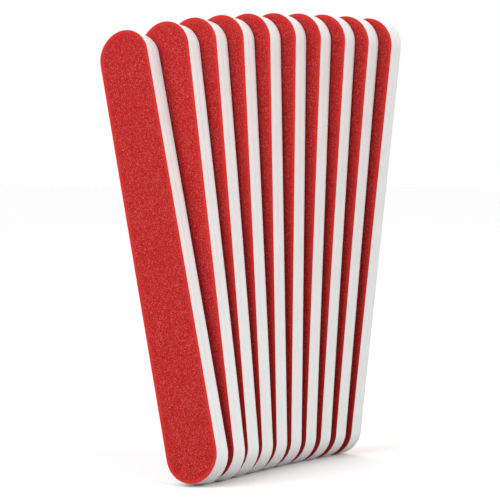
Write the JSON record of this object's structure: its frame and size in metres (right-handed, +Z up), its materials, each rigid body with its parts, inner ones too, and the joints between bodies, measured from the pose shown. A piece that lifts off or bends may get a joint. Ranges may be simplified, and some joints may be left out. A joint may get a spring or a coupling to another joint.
{
  "type": "emery board set",
  "caption": "Fanned set of foam-cushioned emery boards with red grit faces, white edges and full-round ends, standing on their feet.",
  "frame": {"origin": "middle of the set's box, on the floor that the rounded feet stand on", "axes": "+Z up along the boards, +Y from the front board to the rear one, so the grit faces look along -Y and +Y, +X to the right as the fan is seen from the front"},
  "size_m": [0.0852, 0.114, 0.1782],
  "materials": {
    "grit_sheet": "red bonded grit on paper, matte with fine glints",
    "foam": "smooth white closed-cell foam, satin where it is cut",
    "core_plastic": "white plastic strip, satin where it is cut"
  },
  "bodies": {
    "board_01": {"board_01_front_grit_sheet": "grit_sheet", "board_01_front_foam_pad": "foam", "board_01_core": "core_plastic", "board_01_rear_foam_pad": "foam", "board_01_rear_grit_sheet": "grit_sheet"},
    "board_02": {"board_02_front_grit_sheet": "grit_sheet", "board_02_front_foam_pad": "foam", "board_02_core": "core_plastic", "board_02_rear_foam_pad": "foam", "board_02_rear_grit_sheet": "grit_sheet"},
    "board_03": {"board_03_front_grit_sheet": "grit_sheet", "board_03_front_foam_pad": "foam", "board_03_core": "core_plastic", "board_03_rear_foam_pad": "foam", "board_03_rear_grit_sheet": "grit_sheet"},
    "board_04": {"board_04_front_grit_sheet": "grit_sheet", "board_04_front_foam_pad": "foam", "board_04_core": "core_plastic", "board_04_rear_foam_pad": "foam", "board_04_rear_grit_sheet": "grit_sheet"},
    "board_05": {"board_05_front_grit_sheet": "grit_sheet", "board_05_front_foam_pad": "foam", "board_05_core": "core_plastic", "board_05_rear_foam_pad": "foam", "board_05_rear_grit_sheet": "grit_sheet"},
    "board_06": {"board_06_front_grit_sheet": "grit_sheet", "board_06_front_foam_pad": "foam", "board_06_core": "core_plastic", "board_06_rear_foam_pad": "foam", "board_06_rear_grit_sheet": "grit_sheet"},
    "board_07": {"board_07_front_grit_sheet": "grit_sheet", "board_07_front_foam_pad": "foam", "board_07_core": "core_plastic", "board_07_rear_foam_pad": "foam", "board_07_rear_grit_sheet": "grit_sheet"},
    "board_08": {"board_08_front_grit_sheet": "grit_sheet", "board_08_front_foam_pad": "foam", "board_08_core": "core_plastic", "board_08_rear_foam_pad": "foam", "board_08_rear_grit_sheet": "grit_sheet"},
    "board_09": {"board_09_front_grit_sheet": "grit_sheet", "board_09_front_foam_pad": "foam", "board_09_core": "core_plastic", "board_09_rear_foam_pad": "foam", "board_09_rear_grit_sheet": "grit_sheet"},
    "board_10": {"board_10_front_grit_sheet": "grit_sheet", "board_10_front_foam_pad": "foam", "board_10_core": "core_plastic", "board_10_rear_foam_pad": "foam", "board_10_rear_grit_sheet": "grit_sheet"}
  },
  "joints": [
    {"name": "board_01_turn", "type": "hinge", "parent": "board_06", "child": "board_01", "pos_m": [0.01352, -0.05124, 0.01151], "axis": [0, -0.9877, 0.1564], "range_deg": [-15.24, 44.8]},
    {"name": "board_02_turn", "type": "hinge", "parent": "board_06", "child": "board_02", "pos_m": [0.01382, -0.03957, 0.01146], "axis": [0, -0.9903, 0.1392], "range_deg": [-10.64, 37.4]},
    {"name": "board_03_turn", "type": "hinge", "parent": "board_06", "child": "board_03", "pos_m": [0.01302, -0.02794, 0.01142], "axis": [0, -0.9925, 0.1219], "range_deg": [-7.74, 28.3]},
    {"name": "board_04_turn", "type": "hinge", "parent": "board_06", "child": "board_04", "pos_m": [0.01245, -0.01633, 0.01137], "axis": [0, -0.9945, 0.1045], "range_deg": [-5, 19]},
    {"name": "board_05_turn", "type": "hinge", "parent": "board_06", "child": "board_05", "pos_m": [0.01211, -0.00475, 0.01132], "axis": [0, -0.9962, 0.0872], "range_deg": [-2.42, 9.6]},
    {"name": "board_07_turn", "type": "hinge", "parent": "board_06", "child": "board_07", "pos_m": [0.01212, 0.01835, 0.0112], "axis": [0, 0.9986, -0.0523], "range_deg": [-2.26, 9.7]},
    {"name": "board_08_turn", "type": "hinge", "parent": "board_06", "child": "board_08", "pos_m": [0.01247, 0.02988, 0.01114], "axis": [0, 0.9994, -0.0349], "range_deg": [-4.36, 19.6]},
    {"name": "board_09_turn", "type": "hinge", "parent": "board_06", "child": "board_09", "pos_m": [0.01305, 0.0414, 0.01107], "axis": [0, 0.9998, -0.0175], "range_deg": [-6.3, 29.7]},
    {"name": "board_10_turn", "type": "hinge", "parent": "board_06", "child": "board_10", "pos_m": [0.01386, 0.05291, 0.011], "axis": [0, 1, 0], "range_deg": [-8.08, 39.9]}
  ]
}
